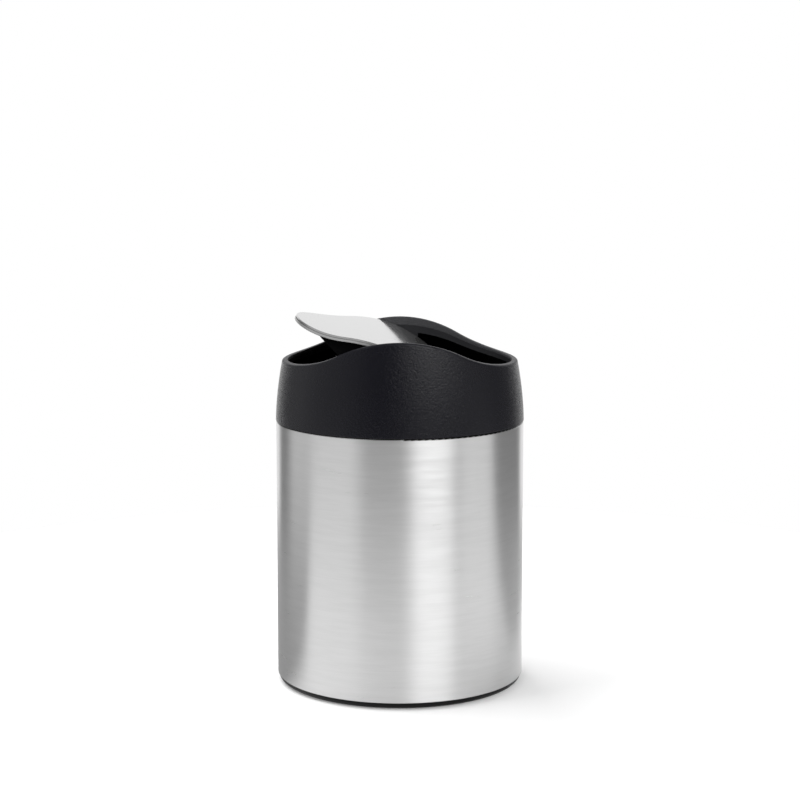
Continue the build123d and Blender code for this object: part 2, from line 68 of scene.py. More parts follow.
class Wire:
    """A value in a node tree. Arithmetic on it adds Math nodes, so node maths reads as maths."""

    def __init__(self, tree, socket):
        self.tree = tree
        self.socket = socket

    def __add__(self, other):
        return self.tree.maths("ADD", self, other)

    def __radd__(self, other):
        return self.tree.maths("ADD", other, self)

    def __sub__(self, other):
        return self.tree.maths("SUBTRACT", self, other)

    def __rsub__(self, other):
        return self.tree.maths("SUBTRACT", other, self)

    def __mul__(self, other):
        return self.tree.maths("MULTIPLY", self, other)

    def __rmul__(self, other):
        return self.tree.maths("MULTIPLY", other, self)

    def __truediv__(self, other):
        return self.tree.maths("DIVIDE", self, other)

    def __rtruediv__(self, other):
        return self.tree.maths("DIVIDE", other, self)

    def __neg__(self):
        return self.tree.maths("MULTIPLY", self, -1.0)


class Nodes:
    """A node tree that is written from top to bottom, one call for each node."""

    def __init__(self, tree):
        self.tree = tree
        self.tree.nodes.clear()

    def add(self, kind, settings=None, sockets=None, output=0):
        """Adds a node: its settings first, then the values or wires of its sockets."""
        node = self.tree.nodes.new(kind)
        for name, value in (settings or {}).items():
            setattr(node, name, value)
        for name, value in (sockets or {}).items():
            if isinstance(value, Wire):
                self.tree.links.new(value.socket, node.inputs[name])
            else:
                node.inputs[name].default_value = value
        return Wire(self, node.outputs[output]) if node.outputs else node

    def maths(self, operation, *values):
        """One Math node, which the arithmetic on wires uses too."""
        return self.add("ShaderNodeMath", {"operation": operation}, dict(enumerate(values)))

    def vector(self, operation, *values, output="Vector"):
        """One Vector Math node."""
        sockets = dict(enumerate(values))
        return self.add("ShaderNodeVectorMath", {"operation": operation}, sockets, output)

    def parts(self, vector):
        """The x, y and z of a vector."""
        node = self.add("ShaderNodeSeparateXYZ", None, {0: vector}).socket.node
        return [Wire(self, node.outputs[axis]) for axis in "XYZ"]

    def step(self, value, start, end):
        """Rises smoothly from 0 to 1 while the value goes from start to end."""
        return self.add(
            "ShaderNodeMapRange",
            {"interpolation_type": "SMOOTHSTEP"},
            {"Value": value, "From Min": start, "From Max": end},
        )

    def colours(self, factor, first, second):
        """Mixes two colours."""
        return self.add(
            "ShaderNodeMix",
            {"data_type": "RGBA"},
            {"Factor": factor, 6: first, 7: second},
            output=2,
        )

    def noise(self, position, cell, detail=2.0):
        """Noise whose features have the cell's size, in metres along x, y and z."""
        scaled = self.vector("MULTIPLY", position, tuple(1 / size for size in cell))
        return self.add("ShaderNodeTexNoise", None, {"Vector": scaled, "Scale": 1.0, "Detail": detail})


def full_colour(colour):
    """An RGB colour with an opaque alpha."""
    return (*colour, 1.0)


def scaled_colour(colour, factor):
    """A lighter or darker shade of a colour, opaque."""
    return (*(min(1.0, part * factor) for part in colour), 1.0)


class Finish(Nodes):
    """A material with one Principled shader, read in the piece's own Object coordinates."""

    def __init__(self, name):
        self.material = bpy.data.materials.new(name)
        self.material.use_nodes = True
        super().__init__(self.material.node_tree)
        self.position = self.add("ShaderNodeTexCoord", output="Object")

    def bump(self, height, depth, strength=1.0):
        """Normal of a surface that a height between 0 and 1 raises by up to the depth, in metres."""
        return self.add("ShaderNodeBump", None, {"Height": height, "Distance": depth, "Strength": strength})

    def done(self, **sockets):
        """Adds the shader with its sockets, named with underscores, and gives the material back."""
        named = {name.replace("_", " "): value for name, value in sockets.items()}
        shader = self.add("ShaderNodeBsdfPrincipled", None, named)
        self.add("ShaderNodeOutputMaterial", None, {"Surface": shader})
        return self.material


def dress(material, *names):
    """Puts a material on the slots of these solids."""
    for name in names:
        for slot in frame["nodes"][name].material_slots:
            slot.material = material


# ---- Finishes -------------------------------------------------------------------------------

def brushed_steel(settings):
    """Rolled can: hairlines run round it, flat in z and long in x and y; painted shade makes it dark in the
    seams.
    """
    finish = Finish("brushed steel")
    place = finish.position
    length = settings.grain_length
    height = settings.grain_height
    hairline = finish.noise(place, (length, length, height), detail=3.0)
    streak = finish.noise(place, (2 * length, 2 * length, 5 * height))
    cloud = finish.noise(place, (0.05, 0.05, 0.04))
    across, back, _ = finish.parts(place)
    weld_half = settings.weld_width / 2
    off_weld = finish.step(finish.maths("ABSOLUTE", across), 0.5 * weld_half, weld_half)
    weld = (1 - off_weld) * finish.step(back, 0, 0.01)
    grain = hairline * 0.4 + streak * 0.6
    shade = finish.step(grain, 0.3, 0.7) * settings.grain_contrast + (1 - settings.grain_contrast)
    colour = finish.colours(shade, scaled_colour(settings.can_colour, 0.8), full_colour(settings.can_colour))
    # Painted shade: where ambient occlusion finds other parts close by, the steel's colour goes nearly black.
    open_sky = finish.add("ShaderNodeAmbientOcclusion", None, {"Distance": 2.5 * MM}, "AO")
    painted_seam_shade = 1 - finish.step(open_sky, 0.75, 0.99)
    return finish.done(
        Base_Color=finish.colours(painted_seam_shade, colour, scaled_colour(settings.can_colour, 0.05)),
        Metallic=1.0,
        Roughness=settings.can_roughness + (grain - 0.5) * 0.12 + (cloud - 0.5) * 0.06 + weld * 0.08,
        Anisotropic=settings.can_anisotropy,
        Anisotropic_Rotation=0.25,
        Normal=finish.bump(grain + weld * 0.5, 0.02 * MM, settings.grain_relief),
    )


def satin_metal(settings):
    """Flap's skin: a bright satin sheet with very faint hairlines from front to rear."""
    finish = Finish("satin flap metal")
    place = finish.position
    hairline = finish.noise(place, (0.4 * MM, 16 * MM, 2 * MM), detail=3.0)
    cloud = finish.noise(place, (30 * MM, 40 * MM, 30 * MM))
    bright, dull = full_colour(settings.flap_colour), scaled_colour(settings.flap_colour, 0.96)
    return finish.done(
        Base_Color=finish.colours(hairline, dull, bright),
        Metallic=0.88,
        Roughness=settings.flap_roughness + (hairline - 0.5) * 0.06 + (cloud - 0.5) * 0.05,
        Normal=finish.bump(hairline, 0.004 * MM),
    )


def silver_plastic(settings):
    """Edge band under the skin: silver-coloured moulding."""
    finish = Finish("silver moulding")
    flake = finish.noise(finish.position, (0.25 * MM,) * 3)
    cloud = finish.noise(finish.position, (20 * MM,) * 3)
    bright, dull = full_colour(settings.band_colour), scaled_colour(settings.band_colour, 0.85)
    return finish.done(
        Base_Color=finish.colours(flake, dull, bright),
        Metallic=0.85,
        Roughness=0.34 + (cloud - 0.5) * 0.08 + (flake - 0.5) * 0.1,
        Normal=finish.bump(flake, 0.008 * MM),
    )


class Moulding(Finish):
    """Plastic with the fine eroded texture of its mould and a little unevenness from handling."""

    def __init__(self, name, texture):
        super().__init__(name)
        self.pebble = self.noise(self.position, (texture,) * 3, detail=1.0)
        self.fine = self.noise(self.position, (texture / 3,) * 3)
        self.cloud = self.noise(self.position, (35 * MM, 35 * MM, 25 * MM), detail=3.0)
        self.tone = self.pebble * 0.5 + self.fine * 0.5

    def shade(self, colour):
        """The colour, lighter and darker with the texture."""
        return self.colours(self.tone, scaled_colour(colour, 0.7), scaled_colour(colour, 1.3))

    def sheen(self, roughness):
        """The roughness, uneven with the texture and in larger clouds."""
        return roughness + (self.cloud - 0.5) * 0.1 + (self.tone - 0.5) * 0.12

    def relief(self, depth):
        """Normal of the texture, raised by up to the depth."""
        return self.bump(self.pebble * 0.7 + self.fine * 0.3, depth)


def moulded_plastic(name, colour, roughness, texture, relief, level=0.5):
    """Moulding of one colour and one texture."""
    moulding = Moulding(name, texture)
    return moulding.done(
        Base_Color=moulding.shade(colour),
        Roughness=moulding.sheen(roughness),
        Specular_IOR_Level=level,
        Normal=moulding.relief(relief),
    )


def collar_plastic(settings):
    """Collar: spark texture outside, a smoother face inside the rim with a lighter colour that is a painted
    highlight, and painted shadow below the ring's seat, near black and metallic so it shows no sheen.
    """
    moulding = Moulding("collar plastic", settings.texture_size)
    facing = moulding.add("ShaderNodeTexCoord", output="Normal")
    flat = moulding.vector("MULTIPLY", moulding.position, (1, 1, 0))
    outwards = moulding.vector("NORMALIZE", flat)
    along = moulding.vector("DOT_PRODUCT", facing, outwards, output="Value")
    radius = moulding.vector("LENGTH", flat, output="Value")
    # Inward faces take the lighter rim colour, which is a painted highlight.
    inside = 1 - moulding.step(along, -0.6, -0.2)
    rim = moulding.step(moulding.parts(facing)[2], 0.2, 0.8)
    seat_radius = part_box("pivot_ring")[1][0]
    # Below the ring's seat the inward faces take a near-black colour and full metallic: painted shadow.
    below = inside * moulding.step(radius, seat_radius - 1.2 * MM, seat_radius - 0.8 * MM)
    lit = moulding.colours(inside, moulding.shade(settings.lid_colour), moulding.shade(settings.rim_highlight_colour))
    return moulding.done(
        Base_Color=moulding.colours(below, lit, moulding.shade(settings.painted_shadow_colour)),
        Metallic=below,
        Roughness=moulding.sheen(settings.lid_roughness) + inside * 0.2 + below * 0.25 + rim * 0.15,
        Specular_IOR_Level=0.22,
        Normal=moulding.relief(settings.texture_depth),
    )


def plated_steel(name, colour, roughness, mark):
    """Small steel parts: bright plating with drawing or turning marks of the given cell size."""
    finish = Finish(name)
    scratch = finish.noise(finish.position, mark, detail=3.0)
    stain = finish.noise(finish.position, (6 * MM,) * 3)
    shade = finish.colours(stain, scaled_colour(colour, 0.85), full_colour(colour))
    return finish.done(
        Base_Color=shade,
        Metallic=1.0,
        Roughness=roughness + (scratch - 0.5) * 0.16,
        Normal=finish.bump(scratch, 0.01 * MM),
    )


def rubber(settings):
    """Foot pads: dull rubber with a fine grain and a trace of dust."""
    finish = Finish("foot rubber")
    grain = finish.noise(finish.position, (0.3 * MM,) * 3)
    dust = finish.noise(finish.position, (4 * MM,) * 3, detail=4.0)
    clean, dusty = full_colour(settings.rubber_colour), (0.05, 0.048, 0.045, 1)
    return finish.done(
        Base_Color=finish.colours(finish.step(dust, 0.5, 0.8), clean, dusty),
        Roughness=0.8 + (grain - 0.5) * 0.2,
        Specular_IOR_Level=0.35,
        Normal=finish.bump(grain, 0.03 * MM),
    )


# ---- Screws ---------------------------------------------------------------------------------

def screw_tree():
    """Geometry Nodes tree: a cross recess screw at every point, its head towards the point's direction."""
    tree = bpy.data.node_groups.new("Cross recess screws", "GeometryNodeTree")
    nodes = Nodes(tree)
    head_sizes = ("Head Radius", "Head Foot Radius", "Head Height")
    other_sizes = ("Shank Radius", "Length", "Recess Span", "Recess Width")
    tree.interface.new_socket("Geometry", in_out="OUTPUT", socket_type="NodeSocketGeometry")
    tree.interface.new_socket("Geometry", in_out="INPUT", socket_type="NodeSocketGeometry")
    for name in head_sizes + other_sizes:
        tree.interface.new_socket(name, in_out="INPUT", socket_type="NodeSocketFloat").subtype = "DISTANCE"
    tree.interface.new_socket("Material", in_out="INPUT", socket_type="NodeSocketMaterial")
    tree.interface.new_socket("Seed", in_out="INPUT", socket_type="NodeSocketInt")
    entry = nodes.add("NodeGroupInput").socket.node
    given = {socket.name: Wire(nodes, socket) for socket in entry.outputs if socket.name}

    def moved(geometry, height):
        offset = nodes.add("ShaderNodeCombineXYZ", None, {"Z": height})
        return nodes.add("GeometryNodeTransform", None, {"Geometry": geometry, "Translation": offset})

    head = nodes.add(
        "GeometryNodeMeshCone",
        None,
        {
            "Vertices": 40,
            "Radius Top": given["Head Radius"],
            "Radius Bottom": given["Head Foot Radius"],
            "Depth": given["Head Height"],
        },
    )
    shank_overlap = given["Head Height"] * 0.5
    shank = nodes.add(
        "GeometryNodeMeshCylinder",
        None,
        {"Vertices": 24, "Radius": given["Shank Radius"], "Depth": given["Length"] - shank_overlap},
    )
    body = nodes.add(
        "GeometryNodeMeshBoolean",
        {"operation": "UNION", "solver": "EXACT"},
        {"Mesh 2": moved(head, -given["Head Height"])},
    )
    shank_middle = (given["Length"] + shank_overlap) * -0.5
    nodes.tree.links.new(moved(shank, shank_middle).socket, body.socket.node.inputs["Mesh 2"])
    recess_depth = given["Head Height"] * 0.7
    slots = []
    for turned in (False, True):
        span, width = given["Recess Span"], given["Recess Width"]
        size = nodes.add(
            "ShaderNodeCombineXYZ",
            None,
            {"X": width if turned else span, "Y": span if turned else width, "Z": recess_depth * 2},
        )
        slots.append(nodes.add("GeometryNodeMeshCube", None, {"Size": size}))
    cut = nodes.add(
        "GeometryNodeMeshBoolean",
        {"operation": "DIFFERENCE", "solver": "EXACT"},
        {"Mesh 1": body, "Mesh 2": slots[0]},
    )
    nodes.tree.links.new(slots[1].socket, cut.socket.node.inputs["Mesh 2"])
    direction = nodes.add(
        "GeometryNodeInputNamedAttribute",
        {"data_type": "FLOAT_VECTOR"},
        {"Name": "head_direction"},
    )
    facing = nodes.add("FunctionNodeAlignRotationToVector", {"axis": "Z"}, {"Vector": direction})
    turn = nodes.add("FunctionNodeRandomValue", {"data_type": "FLOAT"}, {"Seed": given["Seed"]}, output=1)
    spin = nodes.add("FunctionNodeAxisAngleToRotation", None, {"Axis": (0, 0, 1), "Angle": turn * math.pi})
    rotation = nodes.add(
        "FunctionNodeRotateRotation",
        {"rotation_space": "LOCAL"},
        {"Rotation": facing, "Rotate By": spin},
    )
    placed = nodes.add(
        "GeometryNodeInstanceOnPoints",
        None,
        {"Points": given["Geometry"], "Instance": cut, "Rotation": rotation},
    )
    real = nodes.add("GeometryNodeRealizeInstances", None, {"Geometry": placed})
    coated = nodes.add("GeometryNodeSetMaterial", None, {"Geometry": real, "Material": given["Material"]})
    nodes.add("NodeGroupOutput", None, {"Geometry": coated})
    return tree


def islands(name):
    """Points of each closed solid in a node, read from a merged copy of its loose triangles."""
    merged = bmesh.new()
    merged.from_mesh(frame["nodes"][name].data)
    bmesh.ops.remove_doubles(merged, verts=merged.verts, dist=0.001 * MM)
    found = []
    left = set(merged.verts)
    while left:
        reached = [left.pop()]
        for vert in reached:
            for edge in vert.link_edges:
                other = edge.other_vert(vert)
                if other in left:
                    left.remove(other)
                    reached.append(other)
        found.append([vert.co.copy() for vert in reached])
    merged.free()
    return found


def measure_screw(points, direction):
    """Place and sizes of a screw whose head faces the direction: (top of the head, sizes)."""
    axis = direction.normalized()
    centre = sum(points, Vector()) / len(points)
    heights = [(point - centre).dot(axis) for point in points]
    radii = [((point - centre) - axis * height).length for point, height in zip(points, heights)]
    top, end = max(heights), min(heights)
    head_radius = max(radii)
    shank_radius = max(radius for radius, height in zip(radii, heights) if height < end + 0.05 * MM)
    wide = [height for radius, height in zip(radii, heights) if radius > shank_radius + 0.1 * MM]
    head_height = top - min(wide)
    if head_height < 0.01 * MM:
        head_height = top - max(height for height in heights if end + 0.01 * MM < height < top - 0.01 * MM)
        foot_radius = shank_radius
    else:
        foot_radius = head_radius
    sizes = {
        "Head Radius": head_radius,
        "Head Foot Radius": foot_radius,
        "Head Height": head_height,
        "Shank Radius": shank_radius,
        "Length": top - end,
    }
    return centre + axis * top, sizes


def make_screws(name, node, body, material, direction_of, settings, tree):
    """Cross recess screws in place of a node's plain ones, as one plain mesh that rides on the body."""
    measured = []
    for points in islands(node):
        centre = sum(points, Vector()) / len(points)
        direction = direction_of(centre)
        top, sizes = measure_screw(points, direction)
        measured.append((top, direction, sizes))
    if not measured:
        raise RuntimeError(f"{node} has no screws to replace")
    mesh = bpy.data.meshes.new(name)
    mesh.from_pydata([top for top, _, _ in measured], [], [])
    attribute = mesh.attributes.new("head_direction", "FLOAT_VECTOR", "POINT")
    attribute.data.foreach_set("vector", [part for _, direction, _ in measured for part in direction])
    piece = bpy.data.objects.new(name, mesh)
    bpy.context.scene.collection.objects.link(piece)
    sizes = measured[0][2]
    values = dict(sizes)
    values["Recess Span"] = 2 * sizes["Head Radius"] * settings.recess_share
    values["Recess Width"] = 2 * sizes["Head Radius"] * settings.recess_share / settings.recess_slimness
    values["Material"] = material
    values["Seed"] = settings.seed
    modifier = piece.modifiers.new("screws", "NODES")
    modifier.node_group = tree
    for socket in tree.interface.items_tree:
        if socket.in_out == "INPUT" and socket.name in values:
            modifier[socket.identifier] = values[socket.name]
    bpy.context.view_layer.update()
    evaluated = piece.evaluated_get(bpy.context.evaluated_depsgraph_get())
    made = bpy.data.meshes.new_from_object(evaluated)
    piece.modifiers.clear()
    piece.data = made
    if not made.polygons:
        raise RuntimeError(f"{name} came out empty")
    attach(piece, body)
    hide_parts(node)
    return piece


def towards_axis(centre):
    """Direction from a front or rear screw to the bin's axis."""
    return Vector((0, -math.copysign(1, centre.y), 0))


def flap_up():
    """The flap's own upward direction at rest, from the middle of its swing."""
    swing = next(joint for joint in frame["joints"] if joint["name"] == "flap_swing")
    level = math.radians(sum(swing["range_deg"]) / 2)
    return Matrix.Rotation(-level, 3, Vector(swing["axis"])) @ Vector((0, 0, 1))


# ---- Settings -------------------------------------------------------------------------------

class BinMetalSettings(bpy.types.PropertyGroup):
    """Colours and grain of the steel can and the flap."""

    can_colour: FloatVectorProperty(
        name="Can Colour",
        description="Colour of the brushed steel",
        subtype="COLOR",
        default=(0.61, 0.61, 0.61),
    )
    can_roughness: FloatProperty(
        name="Can Roughness",
        description="Roughness of the steel",
        subtype="FACTOR",
        default=0.3,
        min=0,
        max=1,
    )
    can_anisotropy: FloatProperty(
        name="Can Anisotropy",
        description="How far the grain draws highlights up and down",
        default=0.85,
        min=0,
        max=1,
    )
    grain_length: FloatProperty(
        name="Grain Length", description="Length of a hairline round the can", unit="LENGTH", default=12 * MM
    )
    grain_height: FloatProperty(
        name="Grain Height", description="Height of a hairline", unit="LENGTH", default=0.45 * MM
    )
    grain_contrast: FloatProperty(
        name="Grain Contrast", description="How much the hairlines differ in tone", default=0.3, min=0, max=1
    )
    grain_relief: FloatProperty(
        name="Grain Relief", description="Strength of the hairlines' relief", default=1.0, min=0, max=1
    )
    weld_width: FloatProperty(
        name="Weld Width",
        description="Width of the welded line at the can's rear",
        unit="LENGTH",
        default=0.8 * MM,
    )
    flap_colour: FloatVectorProperty(
        name="Flap Colour",
        description="Colour of the flap's skin",
        subtype="COLOR",
        default=(0.395, 0.395, 0.395),
    )
    flap_roughness: FloatProperty(
        name="Flap Roughness",
        description="Roughness of the flap's skin",
        subtype="FACTOR",
        default=0.1,
        min=0,
        max=1,
    )
    band_colour: FloatVectorProperty(
        name="Band Colour",
        description="Colour of the band round the flap's edge",
        subtype="COLOR",
        default=(0.44, 0.44, 0.44),
    )


class BinPlasticSettings(bpy.types.PropertyGroup):
    """Colours and texture of the mouldings."""

    lid_colour: FloatVectorProperty(
        name="Lid Colour",
        description="Colour of the collar and its ring",
        subtype="COLOR",
        default=(0.0021, 0.0020, 0.0046),
    )
    # Lighter colour of the collar's inward faces: a painted highlight.
    rim_highlight_colour: FloatVectorProperty(
        name="Rim Colour",
        description="Colour of the collar inside its rim",
        subtype="COLOR",
        default=(0.045, 0.045, 0.048),
    )
    ring_colour: FloatVectorProperty(
        name="Ring Colour",
        description="Colour of the pivot ring",
        subtype="COLOR",
        default=(0.014, 0.014, 0.016),
    )
    # Near-black colour inside the lid below the ring's seat: painted shadow.
    painted_shadow_colour: FloatVectorProperty(
        name="Hidden Colour",
        description="Colour inside the lid, where no light falls",
        subtype="COLOR",
        default=(0.001, 0.001, 0.0012),
    )
    lid_roughness: FloatProperty(
        name="Lid Roughness",
        description="Roughness of the collar",
        subtype="FACTOR",
        default=0.26,
        min=0,
        max=1,
    )
    texture_size: FloatProperty(
        name="Texture Size", description="Size of the mould's eroded texture", unit="LENGTH", default=0.8 * MM
    )
    texture_depth: FloatProperty(
        name="Texture Depth", description="Depth of the collar's texture", unit="LENGTH", default=0.24 * MM
    )
    base_colour: FloatVectorProperty(
        name="Base Colour",
        description="Colour of the base and the flap's tray",
        subtype="COLOR",
        default=(0.002, 0.002, 0.0022),
    )
    bucket_colour: FloatVectorProperty(
        name="Bucket Colour",
        description="Colour of the inner bucket",
        subtype="COLOR",
        default=(0.002, 0.002, 0.0022),
    )
    rubber_colour: FloatVectorProperty(
        name="Rubber Colour",
        description="Colour of the foot pads",
        subtype="COLOR",
        default=(0.015, 0.015, 0.015),
    )
    bush_colour: FloatVectorProperty(
        name="Bush Colour",
        description="Colour of the pivot bushes",
        subtype="COLOR",
        default=(0.72, 0.71, 0.66),
    )


class BinScrewSettings(bpy.types.PropertyGroup):
    """Cross recesses of the screws."""

    recess_share: FloatProperty(
        name="Recess Share",
        description="Span of the recess as a share of the head",
        default=0.62,
        min=0.2,
        max=0.9,
    )
    recess_slimness: FloatProperty(
        name="Recess Slimness", description="Span of the recess over its width", default=4.2, min=2, max=8
    )
    seed: IntProperty(name="Seed", description="Which way each screw was left turned", default=7)


class BinStudioSettings(bpy.types.PropertyGroup):
    """Camera, floor and light."""

    camera_distance: FloatProperty(
        name="Camera Distance", description="From the can's axis to the camera", unit="LENGTH", default=1.0697
    )
    camera_height: FloatProperty(
        name="Camera Height", description="Camera above the floor", unit="LENGTH", default=0.3119
    )
    camera_pitch: FloatProperty(
        name="Camera Pitch",
        description="Downward tilt of the camera",
        subtype="ANGLE",
        default=math.radians(7.559),
    )
    camera_yaw: FloatProperty(
        name="Camera Yaw",
        description="Turn of the camera to the left",
        subtype="ANGLE",
        default=math.radians(-0.005),
    )
    camera_roll: FloatProperty(
        name="Camera Roll", description="Roll of the camera", subtype="ANGLE", default=math.radians(-0.024)
    )
    lens: FloatProperty(name="Lens", description="Focal length, on a 36 mm wide sensor", default=92.52)
    shift: FloatProperty(
        name="Shift", description="Share of the picture's width that the lens is moved down by", default=0.05
    )
    floor_radius: FloatProperty(
        name="Floor Radius", description="Radius of the pale floor", unit="LENGTH", default=0.45
    )
    floor_colour: FloatVectorProperty(
        name="Floor Colour", description="Colour of the floor", subtype="COLOR", default=(0.68, 0.68, 0.68)
    )
    floor_lift: FloatProperty(
        name="Floor Lift",
        description="Light that the floor itself shows to the camera",
        default=0.22,
        min=0,
        max=1,
    )
    # Painted shade: how far the floor is darkened in the can's reflections only.
    floor_reflection_dim: FloatProperty(
        name="Floor Flag",
        description="How far the floor behind is dimmed at both sides in reflections",
        default=0.62,
        min=0,
        max=1,
    )
    key_power: FloatProperty(name="Key Power", description="Power of the key lamp in watts", default=148.0)
    key_place: FloatVectorProperty(
        name="Key Place",
        description="Where the key lamp hangs",
        subtype="TRANSLATION",
        default=(-1.35, 0.6, 3.3),
    )
    key_depth: FloatProperty(
        name="Key Depth", description="Size of the key lamp from front to rear", unit="LENGTH", default=4.4
    )
    key_breadth: FloatProperty(
        name="Key Breadth", description="Size of the key lamp from left to right", unit="LENGTH", default=0.5
    )
    overhead_level: FloatProperty(
        name="Overhead Level", description="Brightness that the ceiling adds", default=0.25
    )
    studio_level: FloatProperty(
        name="Studio Level", description="Brightness of the studio's walls", default=0.26
    )


# ---- Operators ------------------------------------------------------------------------------

class BIN_OT_finish_can(bpy.types.Operator):
    """Give the can its brushed steel"""

    bl_idname = "bin.finish_can"
    bl_label = "Finish Can"

    def execute(self, context):
        dress(brushed_steel(context.scene.bin_metal), "shell")
        return {"FINISHED"}


class BIN_OT_finish_base(bpy.types.Operator):
    """Give the base its black moulding and the pads their rubber"""

    bl_idname = "bin.finish_base"
    bl_label = "Finish Base"

    def execute(self, context):
        plastic = context.scene.bin_plastic
        dress(moulded_plastic("base moulding", plastic.base_colour, 0.4, 0.4 * MM, 0.012 * MM, 0.15), "base")
        dress(rubber(plastic), *(name for name in frame["nodes"] if name.startswith("foot_pad")))
        return {"FINISHED"}


class BIN_OT_finish_bucket(bpy.types.Operator):
    """Give the lift-out bucket its smooth dark plastic"""

    bl_idname = "bin.finish_bucket"
    bl_label = "Finish Bucket"

    def execute(self, context):
        colour = context.scene.bin_plastic.bucket_colour
        dress(moulded_plastic("bucket plastic", colour, 0.38, 1.2 * MM, 0.008 * MM), "bucket")
        return {"FINISHED"}


class BIN_OT_finish_lid(bpy.types.Operator):
    """Give the collar and the pivot ring their fine-textured black plastic"""

    bl_idname = "bin.finish_lid"
    bl_label = "Finish Lid"

    def execute(self, context):
        plastic = context.scene.bin_plastic
        dress(collar_plastic(plastic), "collar")
        colour, texture = plastic.ring_colour, plastic.texture_size
        dress(moulded_plastic("ring plastic", colour, 0.36, texture, 0.015 * MM, 0.3), "pivot_ring")
        return {"FINISHED"}


class BIN_OT_finish_flap(bpy.types.Operator):
    """Give the flap its satin skin, silver band, black tray and steel weight"""

    bl_idname = "bin.finish_flap"
    bl_label = "Finish Flap"

    def execute(self, context):
        metal = context.scene.bin_metal
        colour = context.scene.bin_plastic.base_colour
        dress(satin_metal(metal), "flap_skin")
        dress(silver_plastic(metal), "flap_panel")
        dress(moulded_plastic("tray moulding", colour, 0.7, 0.5 * MM, 0.02 * MM, 0.02), "flap_tray")
        weight = plated_steel("weight steel", (0.5, 0.5, 0.49), 0.42, (0.3 * MM, 9 * MM, 0.3 * MM))
        dress(weight, "counterweight")
        return {"FINISHED"}


class BIN_OT_finish_pivots(bpy.types.Operator):
    """Give the pivot pins their drawn steel and the bushes their pale plastic"""

    bl_idname = "bin.finish_pivots"
    bl_label = "Finish Pivots"

    def execute(self, context):
        colour = context.scene.bin_plastic.bush_colour
        pin = plated_steel("pin steel", (0.62, 0.62, 0.61), 0.25, (0.08 * MM, 3 * MM, 0.08 * MM))
        dress(pin, "front_pin", "rear_pin")
        dress(moulded_plastic("bush plastic", colour, 0.35, 0.5 * MM, 0.004 * MM), "front_bush", "rear_bush")
        return {"FINISHED"}


class BIN_OT_make_screws(bpy.types.Operator):
    """Put cross recess screws in the ring, the tray and the weight"""

    bl_idname = "bin.make_screws"
    bl_label = "Make Screws"

    def execute(self, context):
        settings = context.scene.bin_screws
        up = flap_up()
        steel = plated_steel("screw steel", (0.6, 0.6, 0.6), 0.3, (0.15 * MM,) * 3)
        tree = screw_tree()
        rows = (
            ("ring_cross_screws", "ring_screws", "lid", towards_axis),
            ("tray_cross_screws", "tray_screws", "flap", lambda centre: -up),
            ("weight_cross_screws", "weight_screws", "flap", lambda centre: up),
        )
        for name, node, body, direction_of in rows:
            make_screws(name, node, body, steel, direction_of, settings, tree)
        return {"FINISHED"}


class BIN_OT_build_studio(bpy.types.Operator):
    """Set up the floor, the soft studio light and the camera"""

    bl_idname = "bin.build_studio"
    bl_label = "Build Studio"

    def execute(self, context):
        settings = context.scene.bin_studio
        make_floor(settings)
        light_world(settings)
        make_key_lamp(settings)
        make_camera(settings)
        context.scene.view_settings.view_transform = "Standard"
        return {"FINISHED"}


# ---- Studio ---------------------------------------------------------------------------------

# Soft boxes round the studio: middle and half width in degrees to the right of the camera, soft
# edge in degrees, brightness added to the walls' own level, and the share of it that is left
# at the floor's height.
SOFT_BOXES = (
    (180, 30, 8, 0.80, 1.0),
    (-80, 39, 14, 0.55, 1.0),
    (31, 17, 12, 6.0, 0.055),
    (76, 16, 10, 0.28, 2.35),
)


def make_floor(settings):
    """Pale round floor that keeps the bin's shadow and lets the eye see white beyond it."""
    bpy.ops.mesh.primitive_circle_add(vertices=128, radius=settings.floor_radius, fill_type="NGON")
    floor = bpy.context.object
    floor.name = "floor"
    material = bpy.data.materials.new("pale floor")
    material.use_nodes = True
    nodes = Nodes(material.node_tree)
    path = nodes.add("ShaderNodeLightPath").socket.node
    rays = ("Camera", "Glossy", "Transmission")
    camera, glossy, through = (Wire(nodes, path.outputs[f"Is {ray} Ray"]) for ray in rays)
    aside, back, _ = nodes.parts(nodes.add("ShaderNodeTexCoord", output="Object"))
    # Painted shade in reflections: for glossy rays only, the floor behind the can at both sides, and a little
    # everywhere, is darkened.
    left = (1 - nodes.step(aside, -0.06, -0.04)) * nodes.step(back, -0.05, -0.005)
    right = nodes.step(aside, 0.08, 0.16) * nodes.step(back, 0, 0.06)
    dim = glossy * (left + right * 0.8 + 0.05) * settings.floor_reflection_dim
    shade = nodes.colours(dim, full_colour(settings.floor_colour), full_colour(BLACK))
    matt = nodes.add("ShaderNodeBsdfDiffuse", None, {"Color": shade})
    seen = nodes.maths("MINIMUM", camera + (glossy + through) * 0.8, 1.0) * (1 - dim)
    level = seen * settings.floor_lift
    lift = nodes.add("ShaderNodeEmission", None, {"Color": full_colour(WHITE), "Strength": level})
    both = nodes.add("ShaderNodeAddShader", None, {0: matt, 1: lift})
    nodes.add("ShaderNodeOutputMaterial", None, {"Surface": both})
    floor.data.materials.append(material)


